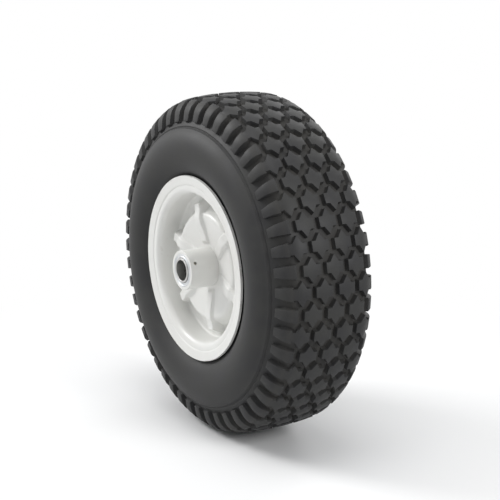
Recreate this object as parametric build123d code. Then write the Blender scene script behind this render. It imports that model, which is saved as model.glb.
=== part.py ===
"""Pneumatic wheel of a garden machine: block-tread tyre on a welded two-piece steel rim.

The wheel turns about Y. Its front face, with the long end of the hub, looks along -Y,
and +Z is up. The origin is where the axle line crosses the middle plane of the tyre.
All sizes are in millimetres.
"""
import os
from math import asin, cos, pi, radians, sin, sqrt

from build123d import *

# Tyre
tyre_diameter = 330.0
tread_depth = 5.0
crown_curve = 264.0
crown_half_width = 39.0
crown_wall = 4.5
shoulder_half_width = 43.8
shoulder_radius = 145.5
crease_half_width = 51.3
crease_radius = 135.0
crease_step = 0.8
bulge_half_width = 59.0
bulge_radius = 112.0
sidewall_thickness = 6.5
inner_flat = 18.0
inner_slack = 0.5
bead_width = 13.0
bead_height = 11.0
bead_clearance = 0.1

# Tread blocks
pitch_count = 25
first_row_angle = 3.5
block_root = 2.0
star_width = 17.6
star_length = 23.6
star_side = 9.6
star_waist = 9.2
star_notch = 5.0
inner_pair_place = 12.0
outer_pair_place = 34.5
outer_pair_tilt = 14.0
outer_pair_drop = 0.9
half_row_place = 23.6
lug_wide_end = 12.8
lug_narrow_end = 8.2
lug_end_radius = 141.5
lug_end_height = 3.2
lug_bulge = 2.4
joined_lug_start = 41.0
single_lug_start = 39.5

# Rim
bead_seat_diameter = 152.4
rim_width = 95.25
sheet = 2.2
flange_round = 2.4
flange_height = 4.5
lip_diameter = 180.0
lip_flare = 1.9
dish_corner_run = 4.5
dish_floor_depth = 23.2
dish_floor_width = 10.0
ridge_radius = 48.5
ridge_width = 4.0
ridge_place = -37.9
disc_place_at_hub = -32.8
hub_land = 4.0
weld_radius = 70.0
weld_collar = 5.0
well_radius = 64.0
well_front = -10.0
well_rear = 8.0
seat_inner_edge = 24.0

# Ribs pressed into the disc
rib_count = 6
rib_first_angle = 42.0
rib_width = 12.0
rib_inner_radius = 22.0
rib_outer_radius = 67.0
rib_height = 2.6
rib_round = 2.0
rib_nose = 7.0
rib_fall = 1.5

# Hub and roller bearing
hub_diameter = 38.0
hub_wall = 3.0
hub_length = 100.0
hub_front = -64.8
hub_weld_gap = 0.1
grease_hole_diameter = 3.5
grease_hole_setback = 5.3
grease_hole_angle = 31.0
axle_diameter = 20.0
sleeve_wall = 2.0
sleeve_overhang = 1.0
roller_count = 10
roller_length = 18.0
roller_clearance = 0.02
cage_length = 24.0
cage_clearance = 0.35
pocket_clearance = 0.12
ring_thickness = 3.0
ring_clearance = 0.3
seal_thickness = 1.4
seal_depth = 1.6
seal_clearance = 0.05
press_clearance = 0.01
end_play = 0.3

# Valve, snapped into the rear slope of the rim well
valve_hole_diameter = 11.5
valve_bulb_diameter = 17.0
valve_bulb_height = 5.5
valve_collar_diameter = 13.6
valve_collar_height = 4.0
valve_body_height = 16.0
valve_body_tip_diameter = 9.4
valve_seat_room = 0.35
stem_diameter = 6.2
stem_thread_diameter = 7.7
stem_thread_length = 10.5
stem_bore = 3.2
core_diameter = 4.8
core_bore = 2.6
core_length = 8.0
core_setback = 1.2
pin_diameter = 1.5
pin_plug_diameter = 2.9
pin_plug_length = 1.6
pin_travel = 1.2
pin_seat_room = 0.05
pin_head_diameter = 1.9
pin_head_length = 0.8
spring_wire = 0.36
spring_turns = 3
cap_diameter = 10.0
cap_wall = 1.0
cap_clearance = 0.12
cap_top = 1.8
gasket_thickness = 1.0
part_gap = 0.05

# Sizes that follow from the ones above
tyre_radius = tyre_diameter / 2
floor_radius = tyre_radius - tread_depth
floor_curve = crown_curve - tread_depth
seat_radius = bead_seat_diameter / 2
barrel_radius = seat_radius - sheet
flange_inside = rim_width / 2
flange_face = flange_inside + sheet
flare_radius = seat_radius + flange_height
lip_radius = lip_diameter / 2
hub_radius = hub_diameter / 2
hub_bore = hub_radius - hub_wall
hub_rear = hub_front + hub_length
sleeve_bore = axle_diameter / 2
sleeve_radius = sleeve_bore + sleeve_wall
pitch_angle = 360 / pitch_count


def crown_drop(place, curve):
    """How far a tread curve has fallen from the middle plane to the given place."""
    return curve - sqrt(curve**2 - place**2)


def ring(*corners):
    """Turn a closed outline of (radius, place along the axle) corners about the axle."""
    return revolve(make_face(Polyline(*corners, close=True)), Axis.Y)


def tube(inner, outer, start, end):
    """A plain round tube about the axle."""
    return ring((inner, start), (outer, start), (outer, end), (inner, end))


def around_axle(angle, shape):
    """Turn a shape about the axle, from +X towards +Z."""
    return Rot(0, -angle, 0) * shape


def flange_path():
    """The air side of a flange, from the edge of the lip to the barrel of the bead seat."""
    round_run = flange_round + sheet / 2
    return [
        (lip_radius, flange_face + lip_flare),
        (flare_radius + sheet / 4, flange_face),
        (barrel_radius + round_run, flange_face),
        (barrel_radius, flange_face - round_run),
    ]


def bead_path(distance, toe):
    """The corners of the flange and bead seat, moved out towards the tyre, down to a toe."""
    line = Polyline(*flange_path(), (barrel_radius, toe))
    moved = offset(line, amount=distance, side=Side.LEFT, kind=Kind.INTERSECTION, closed=False)
    corners = [(round(corner.X, 6), corner.Y) for corner in moved.vertices()]
    return sorted(corners, reverse=True)


# Tyre
shoulder_floor = floor_radius - crown_drop(crown_half_width, floor_curve)


def tyre_carcass():
    """The tyre without its blocks: beads, sidewalls and the floor of the tread."""
    inner_crown = shoulder_floor - crown_wall
    inner_crown_half = crown_half_width - crown_wall / 3
    inner_low = bulge_radius - inner_flat / 2
    inner_high = bulge_radius + inner_flat / 2
    bead_seat = seat_radius + bead_clearance
    bead_face = flange_inside - bead_clearance
    bead_toe = bead_face - bead_width
    bead_top = bead_seat + bead_height
    bead_outline = bead_path(sheet + bead_clearance, bead_toe)
    over_lip, over_lip_place = bead_outline[0]
    edges = [
        ThreePointArc(
            (shoulder_floor, -crown_half_width),
            (floor_radius, 0),
            (shoulder_floor, crown_half_width),
        ),
        Line((inner_crown, -inner_crown_half), (inner_crown, inner_crown_half)),
    ]
    for side in (-1, 1):
        edges.append(
            Polyline(
                (shoulder_floor, side * crown_half_width),
                (shoulder_radius, side * shoulder_half_width),
                (crease_radius, side * crease_half_width),
                (crease_radius - crease_step, side * (crease_half_width + crease_step)),
            )
        )
        edges.append(
            ThreePointArc(
                (crease_radius - crease_step, side * (crease_half_width + crease_step)),
                (bulge_radius, side * bulge_half_width),
                (over_lip, side * over_lip_place),
            )
        )
        edges.append(
            Polyline(
                *[(radius, side * place) for radius, place in bead_outline],
                (bead_top, side * (bead_face - bead_width / 2)),
            )
        )
        edges.append(
            Polyline(
                (bead_top, side * (bead_face - bead_width / 2)),
                (inner_low, side * (bulge_half_width - sidewall_thickness - inner_slack)),
                (inner_high, side * (bulge_half_width - sidewall_thickness - inner_slack)),
                (crease_radius, side * (crease_half_width - sidewall_thickness)),
                (inner_crown, side * inner_crown_half),
            )
        )
    return revolve(make_face(edges), Axis.Y)


def star_outline():
    """Six-pointed block: a point fore and aft, a straight side left and right."""
    half_width = star_width / 2
    half_length = star_length / 2
    half_side = star_side / 2
    half_waist = star_waist / 2
    quarter = [(half_waist, star_notch), (half_width, half_side)]
    corners = [(0, half_length)]
    corners += quarter
    corners += [(x, -y) for x, y in reversed(quarter)]
    corners += [(0, -half_length)]
    corners += [(-x, -y) for x, y in quarter]
    corners += [(-x, y) for x, y in reversed(quarter)]
    return make_face(Polyline(*corners, close=True))


def star_block(place, tilt, top):
    """One star block on +X, at a place across the tread, its flat top at a radius."""
    lean = radians(tilt)
    face = Plane(
        origin=(top, place, 0),
        x_dir=(-sin(lean), cos(lean), 0),
        z_dir=(cos(lean), sin(lean), 0),
    )
    return extrude(face * star_outline(), -(tread_depth + block_root))


def crown_star(place):
    """A star block whose top touches the crown curve."""
    tilt = asin(place / crown_curve) * 180 / pi
    return star_block(place, tilt, tyre_radius - crown_drop(place, crown_curve))


def shoulder_star(side):
    """A star block of the outer pair, which leans over the shoulder."""
    top = tyre_radius - crown_drop(outer_pair_place, crown_curve) - outer_pair_drop
    return star_block(side * outer_pair_place, side * outer_pair_tilt, top)


def shoulder_lug(side, start):
    """A wedge lug that runs from the tread over the shoulder and narrows to the sidewall."""
    start_top = tyre_radius - crown_drop(start, crown_curve) - outer_pair_drop
    fall = (shoulder_floor - shoulder_radius) / (shoulder_half_width - crown_half_width)
    start_floor = shoulder_floor - fall * (start - crown_half_width)
    slope = (crease_half_width - shoulder_half_width) / (shoulder_radius - crease_radius)
    end_floor = shoulder_half_width + slope * (shoulder_radius - lug_end_radius)
    end_top = end_floor + lug_end_height
    middle = ((start_top + lug_end_radius) / 2, (start + end_top) / 2)
    run = Vector(lug_end_radius - start_top, end_top - start)
    outward = Vector(-run.Y, run.X).normalized() * -1
    crest = (middle[0] + outward.X * lug_bulge, middle[1] + outward.Y * lug_bulge)
    section = make_face(
        [
            ThreePointArc((start_top, start), crest, (lug_end_radius, end_top)),
            Polyline(
                (lug_end_radius, end_top),
                (lug_end_radius, end_floor - block_root),
                (shoulder_radius - block_root, shoulder_half_width - block_root),
                (start_floor - block_root, start),
                (start_top, start),
            ),
        ]
    )
    body = extrude(section, lug_wide_end, both=True)
    plan = Plane(
        origin=(middle[0], middle[1], 0),
        x_dir=(run.X, run.Y, 0),
        z_dir=(outward.X, outward.Y, 0),
    )
    half_run = run.length / 2
    far = half_run + tread_depth
    change = (lug_wide_end - lug_narrow_end) / 2 * (tread_depth / run.length)
    wide = lug_wide_end / 2 + change
    narrow = lug_narrow_end / 2 - change
    outline = make_face(
        Polyline((-far, -wide), (far, -narrow), (far, narrow), (-far, wide), close=True)
    )
    wedge = extrude(plan * outline, 4 * tread_depth, both=True)
    lug = body & wedge
    if side < 0:
        lug = mirror(lug, Plane.XZ)
    return lug


def tread_blocks():
    """All blocks of the tread: rows of four stars and rows of three, by turns."""
    full_row = [crown_star(inner_pair_place), crown_star(-inner_pair_place)]
    half_row = [crown_star(0), crown_star(half_row_place), crown_star(-half_row_place)]
    for side in (-1, 1):
        full_row.append(shoulder_star(side))
        full_row.append(shoulder_lug(side, joined_lug_start))
        half_row.append(shoulder_lug(side, single_lug_start))
    blocks = []
    for pitch in range(pitch_count):
        angle = first_row_angle + pitch * pitch_angle
        blocks += [around_axle(angle, block) for block in full_row]
        blocks += [around_axle(angle + pitch_angle / 2, block) for block in half_row]
    return blocks


def tyre():
    return tyre_carcass().fuse(*tread_blocks())


# Rim
dish_floor = -flange_face + dish_floor_depth
dish_corner = barrel_radius - dish_corner_run
weld_place = dish_floor + sheet


def dish_path():
    """The air side of the front pressing, from its lip inwards to the hub."""
    path = [(radius, -place) for radius, place in flange_path()]
    path += [
        (barrel_radius, dish_floor - dish_corner_run),
        (dish_corner, dish_floor),
        (dish_corner - dish_floor_width, dish_floor),
        (ridge_radius + ridge_width, ridge_place + ridge_width / 4),
        (ridge_radius, ridge_place),
        (hub_radius + hub_weld_gap + hub_land, disc_place_at_hub),
        (hub_radius + hub_weld_gap, disc_place_at_hub),
    ]
    return path


def well_path():
    """The air side of the rear pressing, from its lip over the well to the weld."""
    path = flange_path()
    path += [
        (barrel_radius, seat_inner_edge),
        (well_radius - sheet, well_rear),
        (well_radius - sheet, well_front),
        (weld_radius - sheet, weld_place + weld_collar),
        (weld_radius - sheet, weld_place),
    ]
    return path


def pressed_sheet(path, side):
    """Sheet steel on one side of a path, turned about the axle."""
    outline = offset(Polyline(*path), amount=sheet, side=side, kind=Kind.INTERSECTION)
    section = make_face(outline)
    return revolve(section, Axis.Y)


def rib(width, back, depth):
    """A bar along +X with the outline of a rib, set back from its crest line."""
    rise = ridge_place - disc_place_at_hub
    inner_place = disc_place_at_hub + rise * rib_inner_radius / ridge_radius
    crest = [
        (rib_inner_radius, inner_place),
        (rib_inner_radius + rib_height, inner_place - rib_height),
        (ridge_radius, ridge_place - rib_height),
        (rib_outer_radius - rib_nose, ridge_place - rib_height + rib_fall),
        (rib_outer_radius, dish_floor),
    ]
    line = [(radius, place + back) for radius, place in crest]
    outline = line + [(rib_outer_radius, dish_floor + depth), (rib_inner_radius, inner_place + depth)]
    bar = extrude(make_face(Polyline(*outline, close=True)), width / 2, both=True)
    crest_edges = []
    for edge in bar.edges():
        middle = edge.center()
        on_side = abs(abs(middle.Z) - width / 2) < width / 100
        if on_side and edge.length > rib_nose / 2 and middle.Y < dish_floor + back - rib_height:
            if middle.Y < ridge_place + back + rib_height:
                crest_edges.append(edge)
    return fillet(crest_edges, rib_round)


def rim_front_disc():
    """Front pressing: lip, flange, bead seat, dish and the six hollow ribs in one sheet."""
    disc = pressed_sheet(dish_path(), Side.RIGHT)
    outer = rib(rib_width, 0, sheet / 2)
    hollow = rib(rib_width - 2 * sheet, sheet, 2 * sheet + rib_height)
    angles = [rib_first_angle + count * 360 / rib_count for count in range(rib_count)]
    disc = disc.fuse(*[around_axle(angle, outer) for angle in angles])
    return disc.cut(*[around_axle(angle, hollow) for angle in angles])


def valve_at_rest(shape):
    """Put a piece made about Z on the valve line, with Z = 0 in the middle of the sheet."""
    run = Vector(barrel_radius - (well_radius - sheet), seat_inner_edge - well_rear).normalized()
    out = Vector(0, run.X, run.Y)
    radius = (barrel_radius + well_radius - sheet) / 2 + run.Y * sheet / 2
    place = (seat_inner_edge + well_rear) / 2 - run.X * sheet / 2
    return Plane(origin=(0, place, -radius), x_dir=(1, 0, 0), z_dir=out) * shape


def turned(*corners):
    """A piece turned about the valve line from (radius, height) corners."""
    return valve_at_rest(revolve(Plane.XZ * make_face(Polyline(*corners, close=True)), Axis.Z))


def rim_rear_ring():
    """Rear pressing: lip, flange, bead seat and the well, with the valve hole."""
    well = pressed_sheet(well_path(), Side.LEFT)
    return well - valve_at_rest(Cylinder(valve_hole_diameter / 2, 4 * sheet))


# Hub and bearing
ring_inside = sleeve_radius + ring_clearance
front_cage_start = hub_front + ring_thickness + end_play
rear_cage_start = hub_rear - ring_thickness - end_play - cage_length
roller_radius = (hub_bore - sleeve_radius) / 2 - roller_clearance
roller_circle = (hub_bore + sleeve_radius) / 2
cage_inside = sleeve_radius + cage_clearance
cage_outside = hub_bore - cage_clearance


def hub_tube():
    """Long hub tube with its grease hole behind the front dust ring."""
    body = tube(hub_bore, hub_radius, hub_front, hub_rear)
    drill = Cylinder(grease_hole_diameter / 2, 2 * hub_wall)
    place = hub_front + grease_hole_setback
    drill = Pos(hub_radius, place, 0) * Rot(0, 90, 0) * drill
    return body - around_axle(grease_hole_angle, drill)


def axle_sleeve():
    """Inner sleeve that the rollers run on, clamped on the axle."""
    return tube(sleeve_bore, sleeve_radius, hub_front - sleeve_overhang, hub_rear + sleeve_overhang)


def dust_ring(face, inward):
    """End ring pressed into the hub, with a groove for its seal on the inner side."""
    outside = hub_bore - press_clearance
    back = face + inward * ring_thickness
    groove = back - inward * seal_thickness
    groove_radius = ring_inside + seal_depth
    return ring(
        (ring_inside, face),
        (outside, face),
        (outside, back),
        (groove_radius, back),
        (groove_radius, groove),
        (ring_inside, groove),
    )


def lip_seal(face, inward):
    """Rubber seal in the groove of a dust ring, which wipes the sleeve."""
    back = face + inward * ring_thickness
    front = back - inward * seal_thickness
    outside = ring_inside + seal_depth - press_clearance
    return tube(sleeve_radius + seal_clearance, outside, min(front, back), max(front, back))


def roller_places():
    return [count * 360 / roller_count for count in range(roller_count)]


def roller_bar(radius, length, start):
    """A bar along the axle line, on the circle of the rollers."""
    bar = Cylinder(radius, length, align=(Align.CENTER, Align.CENTER, Align.MIN))
    return Pos(roller_circle, start, 0) * Rot(-90, 0, 0) * bar


def roller_cage(start):
    """Moulded cage with one pocket for each roller."""
    body = tube(cage_inside, cage_outside, start, start + cage_length)
    pocket_start = start + (cage_length - roller_length) / 2 - pocket_clearance
    pocket = roller_bar(roller_radius + pocket_clearance, roller_length + 2 * pocket_clearance, pocket_start)
    return body.cut(*[around_axle(angle, pocket) for angle in roller_places()])


def rollers(start):
    """Ten separate rollers in the pockets of one cage."""
    bar = roller_bar(roller_radius, roller_length, start + (cage_length - roller_length) / 2)
    return Compound(children=[around_axle(angle, bar) for angle in roller_places()])


def cage_spacer():
    """Tube that keeps the two cages at the ends of the hub."""
    return tube(cage_inside, cage_outside, front_cage_start + cage_length, rear_cage_start)


# Valve: heights run outwards along the valve line from the middle of the sheet
stem_top = valve_body_height + stem_thread_length
core_top = stem_top - core_setback
core_bottom = core_top - core_length
core_shoulder = core_bottom - part_gap
plug_top = core_bottom - pin_seat_room
plug_bottom = plug_top - pin_plug_length
spring_top = core_top - pin_head_length
spring_bottom = core_top - core_length / 2
cap_foot = valve_body_height + cap_clearance + part_gap
gasket_bottom = stem_top + part_gap
gasket_top = gasket_bottom + gasket_thickness


def valve_grommet():
    """Rubber body of the valve, snapped over the edge of its hole."""
    bore = stem_diameter / 2 + part_gap
    neck = valve_hole_diameter / 2 - part_gap
    inner_seat = -sheet / 2 - part_gap
    outer_seat = sheet / 2 + valve_seat_room
    return turned(
        (bore, inner_seat - valve_bulb_height),
        (neck, inner_seat - valve_bulb_height),
        (valve_bulb_diameter / 2, inner_seat - valve_bulb_height / 2),
        (valve_bulb_diameter / 2, inner_seat),
        (neck, inner_seat),
        (neck, outer_seat),
        (valve_collar_diameter / 2, outer_seat),
        (valve_collar_diameter / 2, outer_seat + valve_collar_height),
        (valve_body_tip_diameter / 2, valve_body_height),
        (bore, valve_body_height),
    )


def valve_stem():
    """Brass tube with the outside thread for the cap and the seat of the core."""
    foot = -sheet / 2 - valve_bulb_height
    thread = stem_thread_diameter / 2
    core_seat = core_diameter / 2 + part_gap
    return turned(
        (stem_bore / 2, foot),
        (stem_diameter / 2, foot),
        (stem_diameter / 2, valve_body_height + part_gap),
        (thread, valve_body_height + part_gap),
        (thread, stem_top),
        (core_seat, stem_top),
        (core_seat, core_shoulder),
        (stem_bore / 2, core_shoulder),
    )


def valve_core():
    """Screwed-in core barrel: a step in its bore carries the spring of the pin."""
    guide = pin_diameter / 2 + part_gap
    return turned(
        (guide, core_bottom),
        (core_diameter / 2, core_bottom),
        (core_diameter / 2, core_top),
        (core_bore / 2, core_top),
        (core_bore / 2, spring_bottom),
        (guide, spring_bottom),
    )


def valve_pin():
    """Pin that is pressed to let air in, with its plug below the core."""
    top = core_top + pin_head_length / 2
    return turned(
        (0, plug_bottom),
        (pin_plug_diameter / 2, plug_bottom),
        (pin_plug_diameter / 2, plug_top),
        (pin_diameter / 2, plug_top),
        (pin_diameter / 2, spring_top + part_gap),
        (pin_head_diameter / 2, spring_top + part_gap),
        (pin_head_diameter / 2, top),
        (0, top),
    )


def valve_spring():
    """Coil spring that pulls the plug of the pin against the core."""
    coil = (core_bore + pin_diameter) / 4
    length = spring_top - spring_bottom - spring_wire - 2 * part_gap
    path = Helix(pitch=length / spring_turns, height=length, radius=coil)
    start = path @ 0
    wire = Plane(origin=start, z_dir=path % 0) * Circle(spring_wire / 2)
    coil_solid = sweep(wire, path, is_frenet=True)
    return valve_at_rest(Pos(0, 0, spring_bottom + spring_wire / 2 + part_gap) * coil_solid)


def valve_cap():
    """Moulded dust cap over the threaded end of the stem."""
    bore = stem_thread_diameter / 2 + cap_clearance
    outside = cap_diameter / 2
    roof = gasket_top + part_gap
    return turned(
        (bore, cap_foot),
        (outside, cap_foot),
        (outside, roof + cap_top - cap_wall),
        (outside - cap_wall, roof + cap_top),
        (0, roof + cap_top),
        (0, roof),
        (bore, roof),
    )


def cap_gasket():
    """Rubber washer inside the cap that seals on the end of the stem."""
    outside = stem_thread_diameter / 2
    inside = pin_plug_diameter / 2
    return turned(
        (inside, gasket_bottom), (outside, gasket_bottom), (outside, gasket_top), (inside, gasket_top)
    )


def main():
    pieces = {
        "tyre": tyre(),
        "rim_front_disc": rim_front_disc(),
        "rim_rear_ring": rim_rear_ring(),
        "hub_tube": hub_tube(),
        "axle_sleeve": axle_sleeve(),
        "front_dust_ring": dust_ring(hub_front, 1),
        "rear_dust_ring": dust_ring(hub_rear, -1),
        "front_seal": lip_seal(hub_front, 1),
        "rear_seal": lip_seal(hub_rear, -1),
        "front_roller_cage": roller_cage(front_cage_start),
        "rear_roller_cage": roller_cage(rear_cage_start),
        "front_rollers": rollers(front_cage_start),
        "rear_rollers": rollers(rear_cage_start),
        "cage_spacer": cage_spacer(),
        "valve_grommet": valve_grommet(),
        "valve_stem": valve_stem(),
        "valve_core": valve_core(),
        "valve_pin": valve_pin(),
        "valve_spring": valve_spring(),
        "valve_cap": valve_cap(),
        "cap_gasket": cap_gasket(),
    }
    os.makedirs("parts", exist_ok=True)
    for name, shape in pieces.items():
        export_step(shape, f"parts/{name}.step")
        print(name, round(shape.volume, 1))


if __name__ == "__main__":
    main()
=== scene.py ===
# %% [markdown]
# # A pneumatic wheel for a garden machine
#
# This lesson dresses a wheel whose construction is already fixed: a block-tread tyre on a
# pressed and welded steel rim, a long hub with a roller bearing, and a valve at the back.
# The frame gives every piece at its real size, so each mesh here starts from those boxes and
# from the sizes named below, and nothing is fitted by eye afterwards.

# %% Load the frame
import math

import bmesh
import bpy
from mathutils import Matrix, Vector


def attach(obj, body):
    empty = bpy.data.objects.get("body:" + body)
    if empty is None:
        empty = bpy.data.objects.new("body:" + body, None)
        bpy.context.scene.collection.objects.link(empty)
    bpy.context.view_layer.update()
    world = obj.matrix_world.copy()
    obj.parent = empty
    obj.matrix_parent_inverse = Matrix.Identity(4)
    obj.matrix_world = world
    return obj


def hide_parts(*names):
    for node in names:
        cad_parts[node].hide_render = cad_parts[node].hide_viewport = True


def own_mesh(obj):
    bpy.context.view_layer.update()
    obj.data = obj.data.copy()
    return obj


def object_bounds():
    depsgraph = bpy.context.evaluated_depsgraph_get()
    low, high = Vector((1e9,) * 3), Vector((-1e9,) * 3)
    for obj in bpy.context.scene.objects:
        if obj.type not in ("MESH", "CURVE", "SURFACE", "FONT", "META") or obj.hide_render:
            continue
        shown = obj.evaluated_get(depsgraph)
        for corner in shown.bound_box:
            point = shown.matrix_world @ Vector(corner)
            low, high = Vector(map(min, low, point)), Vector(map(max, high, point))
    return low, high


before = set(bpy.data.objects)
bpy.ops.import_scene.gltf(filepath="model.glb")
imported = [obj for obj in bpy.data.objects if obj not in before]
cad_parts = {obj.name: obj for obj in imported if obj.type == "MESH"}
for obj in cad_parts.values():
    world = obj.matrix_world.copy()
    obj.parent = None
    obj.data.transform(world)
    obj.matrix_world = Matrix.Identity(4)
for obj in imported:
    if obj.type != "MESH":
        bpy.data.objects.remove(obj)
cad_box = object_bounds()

MM = 0.001
print("solids in the frame:", len(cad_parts))

# %% [markdown]
# ## The camera
#
# The drawing shows the wheel from its hub side and from a little above. The angles, the
# distance and the lens come from fitting the drawn circles, which all lie about one axle.
# The middle of the wheel is not in the middle of the picture, so the lens is shifted by that
# many pixels, which keeps the perspective of the fit.

# %% Set the camera
PHOTO_PIXELS = 500
VIEW_AZIMUTH = math.radians(58.66)
VIEW_ELEVATION = math.radians(14.38)
VIEW_DISTANCE = 1.4685
LENS = 108.1
WHEEL_CENTRE_PIXEL = (240.0, 261.55)

camera_data = bpy.data.cameras.new("camera")
camera_data.lens = LENS
camera_data.sensor_width = 36
camera_data.shift_x = (PHOTO_PIXELS / 2 - WHEEL_CENTRE_PIXEL[0]) / PHOTO_PIXELS
camera_data.shift_y = (WHEEL_CENTRE_PIXEL[1] - PHOTO_PIXELS / 2) / PHOTO_PIXELS
camera = bpy.data.objects.new("camera", camera_data)
camera.location = VIEW_DISTANCE * Vector((
    math.sin(VIEW_AZIMUTH) * math.cos(VIEW_ELEVATION),
    -math.cos(VIEW_AZIMUTH) * math.cos(VIEW_ELEVATION),
    math.sin(VIEW_ELEVATION),
))
camera.rotation_euler = (math.pi / 2 - VIEW_ELEVATION, 0, VIEW_AZIMUTH)
bpy.context.scene.collection.objects.link(camera)
bpy.context.scene.camera = camera
print("camera at", [round(value, 3) for value in camera.location])

# %% [markdown]
# ## Shader maths as plain expressions
#
# Node trees are easier to read when they look like arithmetic. `Signal` wraps the output of
# a node, and its operators add Math nodes. `Finish` starts a material and has one method
# that adds any other node: first its settings, then the values or links of its sockets.

# %% Signals and finishes
class Signal:
    """The output of a node, which can be used in an expression like a number."""

    def __init__(self, finish, socket):
        self.finish = finish
        self.socket = socket

    def math(self, operation, first, second=None):
        sockets = {0: first}
        if second is not None:
            sockets[1] = second
        node = self.finish.node("ShaderNodeMath", {"operation": operation}, sockets)
        return Signal(self.finish, node.outputs[0])

    def __add__(self, other):
        return self.math("ADD", self, other)

    def __radd__(self, other):
        return self.math("ADD", other, self)

    def __sub__(self, other):
        return self.math("SUBTRACT", self, other)

    def __rsub__(self, other):
        return self.math("SUBTRACT", other, self)

    def __mul__(self, other):
        return self.math("MULTIPLY", self, other)

    def __rmul__(self, other):
        return self.math("MULTIPLY", other, self)

    def __truediv__(self, other):
        return self.math("DIVIDE", self, other)

    def sine(self):
        return self.math("SINE", self)

    def root(self):
        return self.math("SQRT", self)

    def absolute(self):
        return self.math("ABSOLUTE", self)

    def ramp(self, start, end, low=0.0, high=1.0):
        """Runs smoothly from low to high while the signal goes from start to end."""
        settings = {"interpolation_type": "SMOOTHSTEP"}
        sockets = {"Value": self, "From Min": start, "From Max": end, "To Min": low, "To Max": high}
        node = self.finish.node("ShaderNodeMapRange", settings, sockets)
        return Signal(self.finish, node.outputs["Result"])


class Finish:
    """One procedural material on Object coordinates."""

    def __init__(self, name):
        self.material = bpy.data.materials.new(name)
        self.material.use_nodes = True
        self.tree = self.material.node_tree
        self.tree.nodes.clear()
        self.shader = self.node("ShaderNodeBsdfPrincipled")
        output = self.node("ShaderNodeOutputMaterial")
        self.tree.links.new(self.shader.outputs["BSDF"], output.inputs["Surface"])
        self.coordinates = self.node("ShaderNodeTexCoord").outputs["Object"]

    def node(self, kind, settings=None, sockets=None):
        node = self.tree.nodes.new(kind)
        for name, value in (settings or {}).items():
            if name == "stops":
                self.set_stops(node.color_ramp, value)
            else:
                setattr(node, name, value)
        self.feed(node, sockets or {})
        return node

    def feed(self, node, sockets):
        for name, value in sockets.items():
            socket = node.inputs[name]
            if isinstance(value, Signal):
                self.tree.links.new(value.socket, socket)
            elif isinstance(value, bpy.types.NodeSocket):
                self.tree.links.new(value, socket)
            else:
                socket.default_value = value

    def set_stops(self, ramp, stops):
        while len(ramp.elements) < len(stops):
            ramp.elements.new(1.0)
        for element, (place, colour) in zip(ramp.elements, stops):
            element.position = place
            element.color = (*colour, 1)

    def noise(self, scale, detail=3.0, roughness=0.5):
        sockets = {"Vector": self.coordinates, "Scale": scale, "Detail": detail, "Roughness": roughness}
        return Signal(self, self.node("ShaderNodeTexNoise", None, sockets).outputs["Fac"])

    def axes(self):
        """The three Object coordinates, in metres, as signals."""
        node = self.node("ShaderNodeSeparateXYZ", None, {"Vector": self.coordinates})
        return [Signal(self, node.outputs[axis]) for axis in "XYZ"]

    def axle_radius(self):
        x, y, z = self.axes()
        return (x * x + z * z).root()

    def mix(self, factor, first, second):
        """Goes from the first colour to the second as the factor goes from 0 to 1."""
        sockets = {0: factor, 6: self.colour(first), 7: self.colour(second)}
        node = self.node("ShaderNodeMix", {"data_type": "RGBA"}, sockets)
        return Signal(self, node.outputs[2])

    def colour(self, value):
        return value if isinstance(value, Signal) else (*value, 1)

    def bump(self, height, strength, distance):
        sockets = {"Height": height, "Strength": strength, "Distance": distance}
        return self.node("ShaderNodeBump", None, sockets).outputs["Normal"]

    def surface(self, **sockets):
        """Set the shader's sockets: base_color becomes Base Color, and so on."""
        self.feed(self.shader, {name.replace("_", " ").title(): value for name, value in sockets.items()})
        return self.material


print("shader helpers ready")

# %% [markdown]
# ## Helpers for turned and pressed shapes
#
# Nearly everything on a wheel is a section turned about the axle. A section is a few
# corners in millimetres, given as (radius, place along the axle). Vertex bevels round its
# corners, because a sheet bends and a mould has no knife edges, and `spin` turns it.

# %% Section and spin helpers
def section(corners, closed=True):
    """A wire of corners (radius, place, rounding) in the XY plane, with its corners rounded."""
    bm = bmesh.new()
    points = [bm.verts.new((corner[0] * MM, corner[1] * MM, 0)) for corner in corners]
    pairs = list(zip(points, points[1:]))
    if closed:
        pairs.append((points[-1], points[0]))
    for first, second in pairs:
        bm.edges.new((first, second))
    for point, corner in zip(points, corners):
        if len(corner) > 2 and corner[2] > 0:
            bmesh.ops.bevel(bm, geom=[point], offset=corner[2] * MM, offset_type="OFFSET", segments=4,
                            profile=0.5, affect="VERTICES", material=-1)
    return bm


def divide(bm, longest):
    """Cut every edge of a wire so that no piece is longer than a given length in mm."""
    for edge in list(bm.edges):
        cuts = int(edge.calc_length() / (longest * MM))
        if cuts:
            bmesh.ops.subdivide_edges(bm, edges=[edge], cuts=cuts)


def spin(bm, steps, axis=(0, 1, 0)):
    """Turn the whole wire once round and close it."""
    bmesh.ops.spin(bm, geom=bm.verts[:] + bm.edges[:], cent=(0, 0, 0), axis=axis,
                   angle=2 * math.pi, steps=steps, use_merge=True)
    bmesh.ops.remove_doubles(bm, verts=bm.verts[:], dist=0.002 * MM)
    bmesh.ops.recalc_face_normals(bm, faces=bm.faces[:])


def make_piece(bm, name, body, slot, finish, *nodes, crease=35):
    """Turn a bmesh into a piece that rides on a body and stands for the named solids."""
    mesh = bpy.data.meshes.new(name)
    bm.to_mesh(mesh)
    bm.free()
    mesh.polygons.foreach_set("use_smooth", [True] * len(mesh.polygons))
    mesh.set_sharp_from_angle(angle=math.radians(crease))
    mesh.materials.append(finish)
    piece = bpy.data.objects.new(name, mesh)
    bpy.context.scene.collection.objects.link(piece)
    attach(piece, body)
    if nodes:
        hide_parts(*nodes)
    print(name, len(mesh.polygons), "faces")
    return piece


print("section helpers ready")

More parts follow.
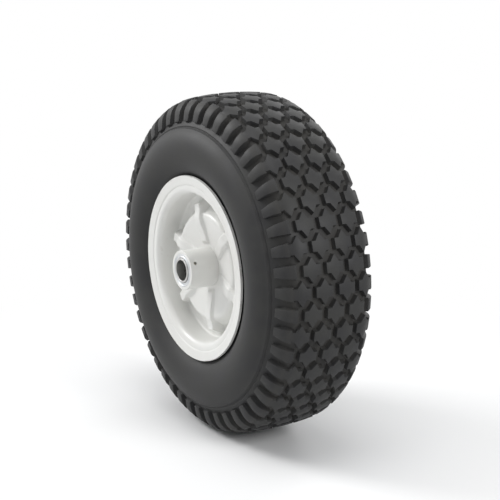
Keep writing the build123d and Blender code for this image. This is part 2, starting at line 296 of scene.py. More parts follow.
# %% [markdown]
# ## Rubber
#
# Moulded rubber is never one flat black. It is a very dark warm grey, a little paler where
# dust and mould release stay in the grooves, and the mould leaves a fine grain. The radius
# from the axle tells groove floor from block top, so no picture is needed.

# %% Tyre rubber
TYRE_RADIUS = 165.0
TREAD_DEPTH = 5.0


def tyre_rubber():
    rubber = Finish("tyre_rubber")
    radius = rubber.axle_radius()
    x, y, z = rubber.axes()
    cloud = rubber.noise(38.0, 4.0)
    grain = rubber.noise(900.0, 2.0)
    mottle = rubber.noise(140.0, 3.0)
    fall = (y * y) / (2 * 0.264)
    depth = TYRE_RADIUS * MM - fall - radius
    tread = y.absolute().ramp(0.040, 0.047, 1.0, 0.0)
    groove = depth.ramp(0.0015, 0.0046) * tread
    dust = groove * cloud.ramp(0.25, 0.75, 0.25, 0.6)
    base = rubber.mix(cloud.ramp(0.3, 0.7), (0.017, 0.017, 0.018), (0.026, 0.026, 0.025))
    base = rubber.mix(dust, base, (0.048, 0.045, 0.041))
    rough = cloud.ramp(0.2, 0.8, 0.50, 0.62) + dust * 0.25
    height = grain * 0.6 + mottle * 0.4
    rubber.shader.inputs["Specular IOR Level"].default_value = 0.32
    return rubber.surface(base_color=base, roughness=rough, normal=rubber.bump(height, 0.25, 0.0004))


rubber_finish = tyre_rubber()
print("made", rubber_finish.name)

# %% [markdown]
# ## The tyre's carcass
#
# The carcass is the tyre without its blocks: groove floor, shoulders, a sidewall that bulges
# a little, and beads that sit in the rim. One closed section is turned once. The arcs are
# worked out from three points each, as on a drawing.

# %% Tyre carcass
FLOOR_RADIUS = TYRE_RADIUS - TREAD_DEPTH
CROWN_CURVE = 264.0
FLOOR_CURVE = CROWN_CURVE - TREAD_DEPTH
CREASE = (135.0, 51.3)
CROWN_HALF_WIDTH = 39.0
CROWN_THROUGH = (159.27, 19.5)
SHOULDER = (145.5, 43.8, 4.0)
BULGE = (112.0, 59.0)
LIP_CORNER = (90.5, 49.48)
BEAD = [(81.5, 47.5, 1.5), (76.3, 47.5, 2.2), (76.3, 34.5, 0.8), (87.3, 41.0, 2.0)]
AIR_SIDE = [(103.0, 52.0, 2.0), (121.0, 52.0, 2.0), (135.0, 44.8, 2.0), (152.55, 37.5, 2.0), (152.55, 0)]
CARCASS_STEPS = 300


def arc(first, through, last, count):
    """Points on the circle through three (radius, place) points."""
    (ax, ay), (bx, by), (cx, cy) = first, through, last
    d = 2 * (ax * (by - cy) + bx * (cy - ay) + cx * (ay - by))
    a2, b2, c2 = ax * ax + ay * ay, bx * bx + by * by, cx * cx + cy * cy
    ux = (a2 * (by - cy) + b2 * (cy - ay) + c2 * (ay - by)) / d
    uy = (a2 * (cx - bx) + b2 * (ax - cx) + c2 * (bx - ax)) / d
    start = math.atan2(ay - uy, ax - ux)
    end = math.atan2(cy - uy, cx - ux)
    turn = (end - start + math.pi) % (2 * math.pi) - math.pi
    reach = math.hypot(ax - ux, ay - uy)
    steps = [start + turn * step / count for step in range(count + 1)]
    return [(ux + reach * math.cos(angle), uy + reach * math.sin(angle)) for angle in steps]


def carcass_half():
    """Corners of the tyre's section on the +Y side, from the crown to the inside."""
    shoulder_floor = FLOOR_RADIUS - (FLOOR_CURVE - math.sqrt(FLOOR_CURVE ** 2 - CROWN_HALF_WIDTH ** 2))
    crown = arc((FLOOR_RADIUS, 0), CROWN_THROUGH, (shoulder_floor, CROWN_HALF_WIDTH), 6)
    outer = [*crown[:-1], (shoulder_floor, CROWN_HALF_WIDTH, 3.0), SHOULDER]
    outer += [(CREASE[0] + 2.0, CREASE[1] - 1.4, 0.3), (CREASE[0] + 0.7, CREASE[1] - 1.7, 0.3)]
    outer += [(CREASE[0] - 0.5, CREASE[1] + 0.9, 0.4)]
    outer += arc((CREASE[0] - 2, CREASE[1] + 1.5), BULGE, LIP_CORNER, 16)
    return outer + BEAD + AIR_SIDE


def tyre_section():
    half = carcass_half()
    other = [(corner[0], -corner[1], *corner[2:]) for corner in reversed(half[1:-1])]
    return section(half + other)


def carcass():
    bm = tyre_section()
    spin(bm, CARCASS_STEPS)
    mesh = bpy.data.meshes.new("carcass")
    bm.to_mesh(mesh)
    bm.free()
    print("carcass", len(mesh.polygons), "faces")
    return mesh


carcass_mesh = carcass()

# %% [markdown]
# ## The tread
#
# The tread has rows of four star blocks and rows of three, by turns, and every row ends in a
# lug on each shoulder: one that grows out of the outer star, or one that stands alone. A block
# is drawn flat, as (across, round, height), and then laid on the tyre by a formula that
# follows the crown, rolls over the shoulder and runs down to the sidewall.

# %% The line that the block tops follow
SHOULDER_CURVE = 20.0
SHOULDER_START = 31.5
SHOULDER_LEAN = math.radians(76)
LUG_END_RADIUS = 141.5
PITCH_COUNT = 25
FIRST_ROW = math.radians(3.5)

start_lean = math.asin(SHOULDER_START / CROWN_CURVE)
crown_length = CROWN_CURVE * start_lean
shoulder_length = SHOULDER_CURVE * (SHOULDER_LEAN - start_lean)
start_radius = TYRE_RADIUS - CROWN_CURVE * (1 - math.cos(start_lean))
shoulder_centre = (
    start_radius - SHOULDER_CURVE * math.cos(start_lean),
    SHOULDER_START - SHOULDER_CURVE * math.sin(start_lean),
)
shoulder_end_radius = shoulder_centre[0] + SHOULDER_CURVE * math.cos(SHOULDER_LEAN)
lug_end = crown_length + shoulder_length + (shoulder_end_radius - LUG_END_RADIUS) / math.sin(SHOULDER_LEAN)


def top_line(across):
    """Radius, place and lean of the block tops at a distance across the tread."""
    if across <= crown_length:
        lean = across / CROWN_CURVE
        return TYRE_RADIUS - CROWN_CURVE * (1 - math.cos(lean)), CROWN_CURVE * math.sin(lean), lean
    lean = start_lean + min(across - crown_length, shoulder_length) / SHOULDER_CURVE
    radius = shoulder_centre[0] + SHOULDER_CURVE * math.cos(lean)
    place = shoulder_centre[1] + SHOULDER_CURVE * math.sin(lean)
    beyond = max(0.0, across - crown_length - shoulder_length)
    return radius - beyond * math.sin(lean), place + beyond * math.cos(lean), lean


def lay_on_tyre(point, across, angle):
    """Move a flat point (across, round, height) onto the tyre."""
    reach = across + point.x
    side = -1 if reach < 0 else 1
    radius, place, lean = top_line(abs(reach))
    turn = angle + point.y / radius
    radius += point.z * math.cos(lean)
    place += point.z * math.sin(lean)
    return Vector((radius * math.cos(turn), side * place, radius * math.sin(turn))) * MM


print("lugs end", round(lug_end, 1), "mm from the middle of the tread")

# %% Block stamps
BLOCK_ROOT = 1.6
BLOCK_DRAFT = 0.35
FOOT_HEIGHT = 0.7
FOOT_FLARE = 0.6
EDGE_ROUND = 0.45
STAR_CORNERS = [(0, 11.8), (4.6, 5.0), (8.8, 4.8)]
LUG_HALF_WIDTHS = (6.4, 4.1)
JOINED_LUG_START = 42.6
SINGLE_LUG_START = 38.5


def grow(verts, amount, drop):
    """Push a ring of points outwards from its outline and down."""
    moves = []
    for vert in verts:
        out = Vector((0, 0, 0))
        for edge in vert.link_edges:
            for face in edge.link_faces:
                normal = face.normal
                if abs(normal.z) < 0.9:
                    out += Vector((normal.x, normal.y, 0))
        moves.append(out.normalized() * amount + Vector((0, 0, -drop)))
    for vert, move in zip(verts, moves):
        vert.co += move


def walls_below(bm, amount, drop, edges):
    """One ring of wall under the outline, leaning out by an amount over a drop."""
    ring = bmesh.ops.extrude_edge_only(bm, edges=edges)["geom"]
    points = [item for item in ring if isinstance(item, bmesh.types.BMVert)]
    bmesh.ops.translate(bm, verts=points, vec=(0, 0, -0.001))
    bm.normal_update()
    grow(points, amount, drop)
    return [item for item in ring if isinstance(item, bmesh.types.BMEdge)
            and all(vert in points for vert in item.verts)]


def block_stamp(outline, cuts=0, depth=TREAD_DEPTH):
    """A flat block: its top, softened edges, leaning walls and a flared foot."""
    bm = bmesh.new()
    top = bm.faces.new([bm.verts.new((x, y, 0)) for x, y in outline])
    if cuts:
        long_edges = [edge for edge in top.edges if abs(edge.verts[0].co.x - edge.verts[1].co.x) > 6]
        bmesh.ops.subdivide_edges(bm, edges=long_edges, cuts=cuts, use_grid_fill=True)
    else:
        bmesh.ops.poke(bm, faces=[top])
    bm.normal_update()
    rim = [edge for edge in bm.edges if edge.is_boundary]
    below = walls_below(bm, BLOCK_DRAFT, depth - FOOT_HEIGHT, rim)
    foot = walls_below(bm, FOOT_FLARE, FOOT_HEIGHT, below)
    root = walls_below(bm, 0.0, BLOCK_ROOT, foot)
    bmesh.ops.contextual_create(bm, geom=root)
    bmesh.ops.bevel(bm, geom=rim, offset=EDGE_ROUND, offset_type="OFFSET", segments=2, profile=0.5,
                    affect="EDGES", material=-1)
    bmesh.ops.recalc_face_normals(bm, faces=bm.faces[:])
    stamp = bpy.data.meshes.new("block_stamp")
    bm.to_mesh(stamp)
    bm.free()
    return stamp


def star_stamp():
    quarter = STAR_CORNERS[1:]
    outline = [STAR_CORNERS[0], *quarter]
    outline += [(x, -y) for x, y in reversed(quarter)]
    outline += [(0, -STAR_CORNERS[0][1])]
    outline += [(-x, -y) for x, y in quarter]
    outline += [(-x, y) for x, y in reversed(quarter)]
    return block_stamp(outline[::-1])


def lug_stamp(start):
    """A wedge from the tread to the sidewall, narrow at the sidewall."""
    wide, narrow = LUG_HALF_WIDTHS
    return block_stamp([(start, -wide), (lug_end, -narrow), (lug_end, narrow), (start, wide)], cuts=8)


stamps = {
    "star": star_stamp(),
    "joined_lug": lug_stamp(JOINED_LUG_START),
    "single_lug": lug_stamp(SINGLE_LUG_START),
}
print({name: len(stamp.polygons) for name, stamp in stamps.items()})

# %% Tyre
FULL_ROW = [("star", -12.0), ("star", 12.0), ("star", -34.5), ("star", 34.5)]
HALF_ROW = [("star", 0.0), ("star", -23.6), ("star", 23.6)]


def add_block(bm, stamp, across, angle, mirrored=False):
    """Lay one copy of a stamp on the tyre."""
    before = len(bm.verts)
    bm.from_mesh(stamp)
    bm.verts.ensure_lookup_table()
    for vert in bm.verts[before:]:
        if mirrored:
            vert.co.x = -vert.co.x
        vert.co = lay_on_tyre(vert.co, across, angle)


def tread():
    bm = bmesh.new()
    pitch = 2 * math.pi / PITCH_COUNT
    for count in range(PITCH_COUNT):
        angle = FIRST_ROW + count * pitch
        for name, across in FULL_ROW:
            add_block(bm, stamps[name], across, angle)
        for name, across in HALF_ROW:
            add_block(bm, stamps[name], across, angle + pitch / 2)
        for mirrored in (False, True):
            add_block(bm, stamps["joined_lug"], 0.0, angle, mirrored)
            add_block(bm, stamps["single_lug"], 0.0, angle + pitch / 2, mirrored)
    return bm


tyre_bm = tread()
tyre_bm.from_mesh(carcass_mesh)
bmesh.ops.recalc_face_normals(tyre_bm, faces=tyre_bm.faces[:])
make_piece(tyre_bm, "block_tyre", "wheel", "tyre_rubber", rubber_finish, "tyre", crease=38)

# %% [markdown]
# ## Powder coat
#
# The rim and hub are steel under an off-white powder coat. Powder melts into a skin with a
# faint orange peel, so the gloss is broken into soft patches, and large pale clouds keep the
# colour from being flat. Tyre levers and kerbs scuff the edge of the lip, and only there.

# %% Rim paint
def rim_paint():
    paint = Finish("rim_paint")
    peel = paint.noise(420.0, 2.0)
    cloud = paint.noise(16.0, 3.0)
    speck = paint.noise(120.0, 4.0, 0.65)
    base = paint.mix(cloud.ramp(0.3, 0.7), (0.74, 0.74, 0.715), (0.70, 0.695, 0.67))
    base = paint.mix(speck.ramp(0.66, 0.74, 0.0, 0.35), base, (0.60, 0.58, 0.54))
    scuff = paint.axle_radius().ramp(0.0880, 0.0900) * speck.ramp(0.52, 0.66, 0.0, 0.6)
    base = paint.mix(scuff, base, (0.42, 0.41, 0.39))
    rough = cloud.ramp(0.25, 0.75, 0.30, 0.40) + speck.ramp(0.6, 0.75, 0.0, 0.12) + scuff * 0.2
    normal = paint.bump(peel, 0.12, 0.0005)
    return paint.surface(base_color=base, roughness=rough, normal=normal)


paint_finish = rim_paint()
print("made", paint_finish.name)

# %% [markdown]
# ## The front pressing
#
# Lip, flange, bead seat, dish and ribs are one sheet of steel. Its air side is drawn as an open
# line from the lip to the hub, with every bend rounded, and turned. The six ribs are then
# raised by moving the points near each rib towards the crest line, as the press does, and the
# sheet gets its thickness last, so that the ribs are hollow behind.

# %% Rim sheet
SHEET = 2.2
DISC_STEPS = 360
DISH_FLOOR = -26.62
DISC_AT_HUB = -32.8
FLANGE = [(90.0, 51.7), (82.0, 50.5, 0.3), (81.3, 49.8, 0.3), (74.0, 49.8, 3.6)]


def pressed_sheet(bm, thickness):
    """Give a turned sheet its thickness, on the side away from the air."""
    bmesh.ops.solidify(bm, geom=bm.faces[:] + bm.edges[:] + bm.verts[:], thickness=-thickness)
    bmesh.ops.recalc_face_normals(bm, faces=bm.faces[:])


def front_path():
    flange = [(corner[0], -corner[1], *corner[2:]) for corner in FLANGE]
    dish = [(74.0, DISH_FLOOR, 4.5), (58.5, DISH_FLOOR, 3.0), (50.2, -37.75, 1.8)]
    return flange + dish + [(23.1, DISC_AT_HUB, 1.5), (19.1, DISC_AT_HUB)]


# %% Pressed ribs
RIB_COUNT = 6
RIB_FIRST = math.radians(42.0)
RIB_FLAT = 4.3
RIB_FLANK = 2.4
RIB_LINE = [(22.0, -33.0), (26.0, -35.6), (48.5, -40.5), (60.0, -39.2), (68.0, DISH_FLOOR)]


def smooth_step(value):
    value = min(max(value, 0.0), 1.0)
    return value * value * (3 - 2 * value)


def rib_crest(radius):
    """Place of the rib's crest at a radius, or None where there is no rib."""
    for (r0, p0), (r1, p1) in zip(RIB_LINE, RIB_LINE[1:]):
        if r0 <= radius <= r1:
            return p0 + (p1 - p0) * smooth_step((radius - r0) / (r1 - r0))
    return None


def raise_ribs(bm):
    spacing = 2 * math.pi / RIB_COUNT
    for vert in bm.verts:
        radius = math.hypot(vert.co.x, vert.co.z) / MM
        crest = rib_crest(radius)
        if crest is None:
            continue
        turn = (math.atan2(vert.co.z, vert.co.x) - RIB_FIRST + spacing / 2) % spacing - spacing / 2
        aside = abs(turn) * radius
        share = smooth_step((RIB_FLAT + RIB_FLANK - aside) / RIB_FLANK)
        vert.co.y = min(vert.co.y, vert.co.y + share * (crest * MM - vert.co.y))


front_bm = section(front_path(), closed=False)
divide(front_bm, 1.6)
spin(front_bm, DISC_STEPS)
raise_ribs(front_bm)
pressed_sheet(front_bm, SHEET * MM)
make_piece(front_bm, "ribbed_front_disc", "wheel", "rim_paint", paint_finish, "rim_front_disc", crease=50)

# %% Rear pressing
WELL_STEPS = 240


def rear_path():
    well = [(74.0, 24.0, 4.0), (61.8, 8.0, 4.0), (61.8, -10.0, 4.0)]
    return FLANGE + well + [(67.8, -19.45, 2.0), (67.8, -24.45)]


rear_bm = section(rear_path(), closed=False)
divide(rear_bm, 4.0)
spin(rear_bm, WELL_STEPS)
pressed_sheet(rear_bm, SHEET * MM)
make_piece(rear_bm, "rear_well_ring", "wheel", "rim_paint", paint_finish, "rim_rear_ring", crease=50)

# %% [markdown]
# ## Hub, sleeve and dust rings
#
# The hub is a plain drawn tube with eased ends and one drilled grease hole. The hole is cut
# with a Boolean, which is applied at once, so that the mesh is final. The sleeve that the
# rollers run on shows as a bright ring in the hub's mouth, with a plated dust ring round it.

# %% Hub tube
HUB_RADIUS = 19.0
HUB_BORE = 16.0
HUB_ENDS = (-64.8, 35.2)
GREASE_HOLE = 3.5
GREASE_HOLE_PLACE = HUB_ENDS[0] + 5.3
GREASE_HOLE_ANGLE = math.radians(31.0)


def turned_tube(inner, outer, start, end, ease, steps):
    """A tube with eased corners."""
    bm = section([(inner, start, ease), (outer, start, ease), (outer, end, ease), (inner, end, ease)])
    spin(bm, steps)
    return bm


def drill_out(piece, radius, length, matrix):
    """Cut a round hole through a piece and keep the result as its mesh."""
    bm = bmesh.new()
    bmesh.ops.create_cone(bm, cap_ends=True, segments=32, radius1=radius * MM, radius2=radius * MM,
                          depth=length * MM)
    bmesh.ops.transform(bm, matrix=matrix, verts=bm.verts[:])
    mesh = bpy.data.meshes.new("drill")
    bm.to_mesh(mesh)
    bm.free()
    drill = bpy.data.objects.new("drill", mesh)
    bpy.context.scene.collection.objects.link(drill)
    cut = piece.modifiers.new("drill", "BOOLEAN")
    cut.operation = "DIFFERENCE"
    cut.solver = "EXACT"
    cut.object = drill
    bpy.context.view_layer.update()
    result = bpy.data.meshes.new_from_object(piece.evaluated_get(bpy.context.evaluated_depsgraph_get()))
    piece.modifiers.clear()
    piece.data = result
    bpy.data.objects.remove(drill)


hub_bm = turned_tube(HUB_BORE, HUB_RADIUS, *HUB_ENDS, 0.5, 160)
hub = make_piece(hub_bm, "hub_barrel", "wheel", "rim_paint", paint_finish, "hub_tube")
hole_place = MM * Vector((
    HUB_RADIUS * math.cos(GREASE_HOLE_ANGLE),
    GREASE_HOLE_PLACE,
    HUB_RADIUS * math.sin(GREASE_HOLE_ANGLE),
))
hole_turn = Matrix.Rotation(math.pi / 2 - GREASE_HOLE_ANGLE, 4, "Y")
drill_out(hub, GREASE_HOLE / 2, 8.0, Matrix.Translation(hole_place) @ hole_turn)
hub.data.set_sharp_from_angle(angle=math.radians(35))
print("hub faces after drilling", len(hub.data.polygons))

# %% [markdown]
# ## Bare metals and plastics
#
# Small bearing parts are turned or plated. Turning leaves fine rings about the axle, which a
# sine of the radius gives. The cages are natural plastic, slightly cloudy.

# %% Metal and plastic finishes
def turned_metal(name, colour, dark, rings, rough):
    metal = Finish(name)
    radius = metal.axle_radius()
    cloud = metal.noise(90.0, 3.0)
    lines = (radius * rings).sine() * 0.5 + 0.5
    base = metal.mix(cloud.ramp(0.35, 0.7), colour, dark)
    return metal.surface(
        base_color=base,
        metallic=1.0,
        roughness=cloud.ramp(0.3, 0.7, rough, rough + 0.12),
        normal=metal.bump(lines, 0.08, 0.0002),
    )


def moulded(name, colour, pale, rough, grain_scale):
    plastic = Finish(name)
    cloud = plastic.noise(60.0, 3.0)
    grain = plastic.noise(grain_scale, 2.0)
    base = plastic.mix(cloud.ramp(0.3, 0.7), colour, pale)
    return plastic.surface(
        base_color=base,
        roughness=cloud.ramp(0.3, 0.7, rough, rough + 0.1),
        normal=plastic.bump(grain, 0.15, 0.0002),
    )


sleeve_finish = turned_metal("sleeve_steel", (0.56, 0.56, 0.55), (0.44, 0.44, 0.43), 9000.0, 0.26)
zinc_finish = turned_metal("ring_zinc", (0.68, 0.69, 0.70), (0.56, 0.58, 0.60), 4000.0, 0.34)
roller_finish = turned_metal("roller_steel", (0.63, 0.63, 0.64), (0.52, 0.52, 0.53), 12000.0, 0.18)
brass_finish = turned_metal("valve_brass", (0.78, 0.60, 0.30), (0.62, 0.45, 0.20), 6000.0, 0.24)
seal_finish = moulded("seal_rubber", (0.022, 0.022, 0.022), (0.034, 0.033, 0.032), 0.55, 900.0)
cage_finish = moulded("cage_plastic", (0.74, 0.69, 0.55), (0.68, 0.62, 0.48), 0.45, 700.0)
valve_rubber_finish = moulded("valve_rubber", (0.028, 0.028, 0.029), (0.042, 0.041, 0.040), 0.50, 900.0)
cap_finish = moulded("cap_plastic", (0.020, 0.020, 0.021), (0.030, 0.030, 0.031), 0.34, 1200.0)
print("metals and plastics made")

# %% Sleeve and dust rings
SLEEVE = (10.0, 12.0, -65.8, 36.2)
RING_BORE = 12.3
RING_OUTSIDE = 15.99
RING_THICKNESS = 3.0

sleeve_bm = turned_tube(*SLEEVE, 0.35, 128)
make_piece(sleeve_bm, "bearing_sleeve", "axle_side", "sleeve_steel", sleeve_finish, "axle_sleeve")


def dust_ring(name, face, inward, node):
    """A plated ring with a shallow pressed groove in its outer face."""
    back = face + inward * RING_THICKNESS
    groove = face + inward * 0.5
    seal_groove = back - inward * 1.4
    corners = [
        (RING_BORE, face, 0.25), (13.4, face, 0.2), (13.7, groove, 0.2),
        (14.6, groove, 0.2), (14.9, face, 0.2), (RING_OUTSIDE, face, 0.3), (RING_OUTSIDE, back, 0.2),
        (RING_BORE + 1.6, back), (RING_BORE + 1.6, seal_groove), (RING_BORE, seal_groove),
    ]
    bm = section(corners)
    spin(bm, 128)
    return make_piece(bm, name, "wheel", "ring_zinc", zinc_finish, node)


dust_ring("front_plated_ring", HUB_ENDS[0], 1, "front_dust_ring")
dust_ring("rear_plated_ring", HUB_ENDS[1], -1, "rear_dust_ring")

# %% [markdown]
# ## The welds
#
# The hub is welded into the disc with one bead on each side, and the coat covers it. A weld
# bead is a row of overlapping ripples, so a small ring is turned and its points are pushed out
# in scallops.

# %% Weld beads
BEAD_SIZE = 1.7
BEAD_RIPPLES = 46


def weld_bead(name, radius, place, size, ripples):
    bm = bmesh.new()
    bmesh.ops.create_circle(bm, segments=14, radius=size * MM)
    bmesh.ops.translate(bm, verts=bm.verts[:], vec=(radius * MM, place * MM, 0))
    spin(bm, ripples * 8)
    for vert in bm.verts:
        turn = math.atan2(vert.co.z, vert.co.x)
        phase = (turn / (2 * math.pi) * ripples) % 1.0
        swell = 1.0 + 0.16 * (1 - phase) - 0.12 * phase + 0.06 * math.sin(5 * turn)
        centre = Vector((radius * math.cos(turn), place, radius * math.sin(turn))) * MM
        vert.co = centre + (vert.co - centre) * swell
    return make_piece(bm, name, "wheel", "rim_paint", paint_finish, crease=60)


weld_bead("front_hub_weld", HUB_RADIUS + 0.7, DISC_AT_HUB - 0.5, BEAD_SIZE, BEAD_RIPPLES)
weld_bead("rear_hub_weld", HUB_RADIUS + 0.7, DISC_AT_HUB + SHEET + 0.5, BEAD_SIZE, BEAD_RIPPLES)
weld_bead("ring_weld", 67.6, DISH_FLOOR + SHEET + 0.6, 1.9, 150)

# %% [markdown]
# ## The valve
#
# The snap-in valve sits in the sloping wall of the well at the bottom of the wheel and leans
# out to the back, so that a pump head reaches it. Each piece is turned about Z and then put on
# the valve line, whose place and slope follow from the well's section.

# %% Valve line
slope = Vector((74.0 - 61.8, 24.0 - 8.0)).normalized()
valve_out = Vector((0, slope.x, slope.y))
valve_foot = Vector((
    0,
    (24.0 + 8.0) / 2 - slope.x * SHEET / 2,
    -((74.0 + 61.8) / 2 + slope.y * SHEET / 2),
)) * MM
valve_turn = Vector((0, 0, 1)).rotation_difference(valve_out).to_matrix().to_4x4()
valve_matrix = Matrix.Translation(valve_foot) @ valve_turn


def turned_on_valve(corners, steps):
    """A closed section of (radius, height, rounding) turned about the valve line."""
    bm = section(corners)
    bmesh.ops.rotate(bm, verts=bm.verts[:], cent=(0, 0, 0), matrix=Matrix.Rotation(math.pi / 2, 3, "X"))
    spin(bm, steps, axis=(0, 0, 1))
    return bm


def put_on_valve(bm):
    bmesh.ops.transform(bm, matrix=valve_matrix, verts=bm.verts[:])
    return bm


print("valve points along", [round(value, 3) for value in valve_out])

# %% Valve grommet
grommet_corners = [
    (3.15, -6.65), (5.7, -6.65, 0.6), (8.5, -3.9, 1.0), (8.5, -1.15, 0.5), (5.7, -1.15, 0.2),
    (5.7, 1.45, 0.2), (6.8, 1.45, 0.4), (6.8, 4.2, 0.5), (6.3, 4.7, 0.2), (6.3, 5.5, 0.2),
    (6.0, 6.2, 0.4), (4.7, 16.0, 0.4), (3.15, 16.0),
]
grommet_bm = put_on_valve(turned_on_valve(grommet_corners, 64))
make_piece(grommet_bm, "snap_in_grommet", "wheel", "valve_rubber", valve_rubber_finish, "valve_grommet")

# %% Valve stem with its thread
THREAD_PITCH = 0.79
THREAD_DEPTH = 0.42


def stem_corners():
    thread = []
    turns = int(10.0 / THREAD_PITCH)
    for turn in range(turns):
        height = 16.3 + turn * THREAD_PITCH
        thread.append((3.85 - THREAD_DEPTH, height))
        thread.append((3.85, height + THREAD_PITCH / 2))
    foot = [(1.6, -6.6), (3.1, -6.6), (3.1, 16.05), (3.4, 16.05)]
    head = [(3.4, 26.1), (3.55, 26.5, 0.15), (2.45, 26.5, 0.2), (2.45, 17.25), (1.6, 17.25)]
    return foot + thread + head


stem_bm = put_on_valve(turned_on_valve(stem_corners(), 64))
make_piece(stem_bm, "threaded_stem", "wheel", "valve_brass", brass_finish, "valve_stem")

# %% Valve cap with grip flutes
CAP_RADIUS = 5.0
CAP_FLUTES = 14
FLUTE_DEPTH = 0.45
CAP_FOOT = 16.17
CAP_TOP = 29.4


def cap_shape():
    corners = [(3.97, CAP_FOOT), (CAP_RADIUS, CAP_FOOT, 0.3), (CAP_RADIUS, 17.8, 0.2),
               (CAP_RADIUS, 27.4, 0.2), (CAP_RADIUS, CAP_TOP, 1.2), (0.4, CAP_TOP), (0.4, 27.6), (3.97, 27.6)]
    bm = turned_on_valve(corners, CAP_FLUTES * 12)
    bmesh.ops.holes_fill(bm, edges=[edge for edge in bm.edges if edge.is_boundary])
    for vert in bm.verts:
        radius = math.hypot(vert.co.x, vert.co.y)
        if radius > 4.6 * MM and 17.9 * MM < vert.co.z < 27.3 * MM:
            turn = math.atan2(vert.co.y, vert.co.x)
            bite = FLUTE_DEPTH * max(0.0, math.cos(turn * CAP_FLUTES)) ** 2
            vert.co.x *= 1 - bite * MM / radius
            vert.co.y *= 1 - bite * MM / radius
    return bm


make_piece(put_on_valve(cap_shape()), "fluted_cap", "cap", "cap_plastic", cap_finish, "valve_cap")

# %% [markdown]
# ## The spring of the valve pin
#
# The pin is pressed against a small coil spring, so the spring has to shorten with it. A
# circle of wire is spun three times round with a step along the valve line, which makes the
# coil, and the spring gets a mesh of its own.

# %% Pin spring
SPRING_ENDS = (21.3, 24.5)
SPRING_COIL = 1.025
SPRING_WIRE = 0.36
SPRING_TURNS = 3
SPRING_ROOM = 0.05


def spring_shape():
    steps = SPRING_TURNS * 24
    start = SPRING_ENDS[0] + SPRING_WIRE / 2 + SPRING_ROOM
    rise = SPRING_ENDS[1] - SPRING_ENDS[0] - SPRING_WIRE - 2 * SPRING_ROOM
    bm = bmesh.new()
    bmesh.ops.create_circle(bm, segments=10, radius=SPRING_WIRE / 2 * MM)
    bmesh.ops.rotate(bm, verts=bm.verts[:], cent=(0, 0, 0), matrix=Matrix.Rotation(math.pi / 2, 3, "X"))
    bmesh.ops.translate(bm, verts=bm.verts[:], vec=(SPRING_COIL * MM, 0, start * MM))
    bmesh.ops.spin(bm, geom=bm.verts[:] + bm.edges[:], cent=(0, 0, 0), axis=(0, 0, 1),
                   dvec=(0, 0, rise * MM / steps), angle=2 * math.pi * SPRING_TURNS, steps=steps)
    bmesh.ops.holes_fill(bm, edges=[edge for edge in bm.edges if edge.is_boundary])
    bmesh.ops.recalc_face_normals(bm, faces=bm.faces[:])
    return bm


spring_bm = put_on_valve(spring_shape())
spring = make_piece(spring_bm, "pin_spring", "wheel", "roller_steel", roller_finish, "valve_spring")
spring_foot = valve_matrix @ Vector((0, 0, SPRING_ENDS[0] * MM))
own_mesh(spring)

# %% Finishes for the solids that stay
NODE_FINISHES = {
    "front_seal": seal_finish, "rear_seal": seal_finish, "cap_gasket": seal_finish,
    "front_roller_cage": cage_finish, "rear_roller_cage": cage_finish, "cage_spacer": cage_finish,
    "front_rollers": roller_finish, "rear_rollers": roller_finish, "valve_pin": roller_finish,
    "valve_core": brass_finish,
}
for node_name, finish in NODE_FINISHES.items():
    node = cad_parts[node_name]
    node.data.materials.clear()
    node.data.materials.append(finish)
print("solids with a new finish:", len(NODE_FINISHES))

# %% [markdown]
# ## Floor, light and background
#
# The drawing has a white ground, so the wheel stands on a pale floor that fades to white. The
# fade is only seen by the camera and by reflections. Near the wheel the floor is an ordinary
# pale surface and keeps its shadow. Large soft lamps light black rubber best, because it shows
# its form by reflections, not by its colour.

# %% Floor
FLOOR_REACH = 6.0


def floor_finish():
    finish = Finish("pale_floor")
    x, y, z = finish.axes()
    far = (x * x + y * y).root().ramp(0.15, 0.50)
    path = finish.node("ShaderNodeLightPath")
    seen = Signal(finish, path.outputs["Is Camera Ray"]) + Signal(finish, path.outputs["Is Glossy Ray"])
    white = finish.node("ShaderNodeEmission", None, {"Color": (1, 1, 1, 1), "Strength": 1.0})
    mixer = finish.node("ShaderNodeMixShader", None, {"Fac": far * seen})
    finish.surface(base_color=(0.86, 0.86, 0.86, 1), roughness=0.85)
    finish.tree.links.new(finish.shader.outputs["BSDF"], mixer.inputs[1])
    finish.tree.links.new(white.outputs["Emission"], mixer.inputs[2])
    output = [node for node in finish.tree.nodes if node.type == "OUTPUT_MATERIAL"][0]
    finish.tree.links.new(mixer.outputs["Shader"], output.inputs["Surface"])
    return finish.material


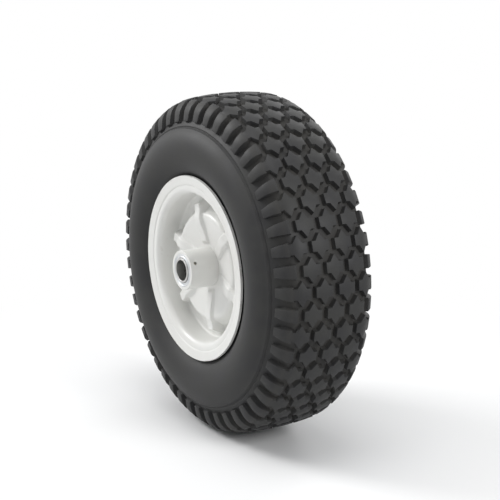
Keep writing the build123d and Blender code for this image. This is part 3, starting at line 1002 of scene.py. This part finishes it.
floor_bm = bmesh.new()
bmesh.ops.create_circle(floor_bm, cap_ends=True, segments=64, radius=FLOOR_REACH)
bmesh.ops.translate(floor_bm, verts=floor_bm.verts[:], vec=(0, 0, cad_box[0][2]))
floor_mesh = bpy.data.meshes.new("floor")
floor_bm.to_mesh(floor_mesh)
floor_bm.free()
floor_mesh.materials.append(floor_finish())
floor = bpy.data.objects.new("floor", floor_mesh)
bpy.context.scene.collection.objects.link(floor)

# %% World
world = bpy.data.worlds.new("white_room")
bpy.context.scene.world = world
world.use_nodes = True
nodes, links = world.node_tree.nodes, world.node_tree.links
nodes.clear()
seen_white = nodes.new("ShaderNodeBackground")
seen_white.inputs["Color"].default_value = (1, 1, 1, 1)
seen_white.inputs["Strength"].default_value = 1.0
room_light = nodes.new("ShaderNodeBackground")
room_light.inputs["Color"].default_value = (0.96, 0.98, 1.0, 1)
room_light.inputs["Strength"].default_value = 0.40
light_path = nodes.new("ShaderNodeLightPath")
either = nodes.new("ShaderNodeMath")
either.operation = "MAXIMUM"
choice = nodes.new("ShaderNodeMixShader")
world_output = nodes.new("ShaderNodeOutputWorld")
links.new(light_path.outputs["Is Camera Ray"], either.inputs[0])
links.new(light_path.outputs["Is Glossy Ray"], either.inputs[1])
links.new(either.outputs[0], choice.inputs["Fac"])
links.new(room_light.outputs["Background"], choice.inputs[1])
links.new(seen_white.outputs["Background"], choice.inputs[2])
links.new(choice.outputs["Shader"], world_output.inputs["Surface"])
bpy.context.scene.view_settings.view_transform = "Standard"

# %% Lamps
LAMPS = {
    "key": ((-1.5, -1.2, 1.3), 0.9, 34.0),
    "tread_side": ((1.9, 0.5, 1.0), 0.8, 20.0),
    "top": ((0.3, -0.3, 2.0), 1.2, 14.0),
    "back": ((-0.9, 1.8, 1.2), 1.2, 12.0),
}
for lamp_name, (place, size, power) in LAMPS.items():
    lamp_data = bpy.data.lights.new(lamp_name, "AREA")
    lamp_data.size = size
    lamp_data.energy = power
    lamp = bpy.data.objects.new(lamp_name, lamp_data)
    lamp.location = place
    lamp.rotation_euler = (-Vector(place)).to_track_quat("-Z", "Y").to_euler()
    bpy.context.scene.collection.objects.link(lamp)
print("lamps:", list(LAMPS))
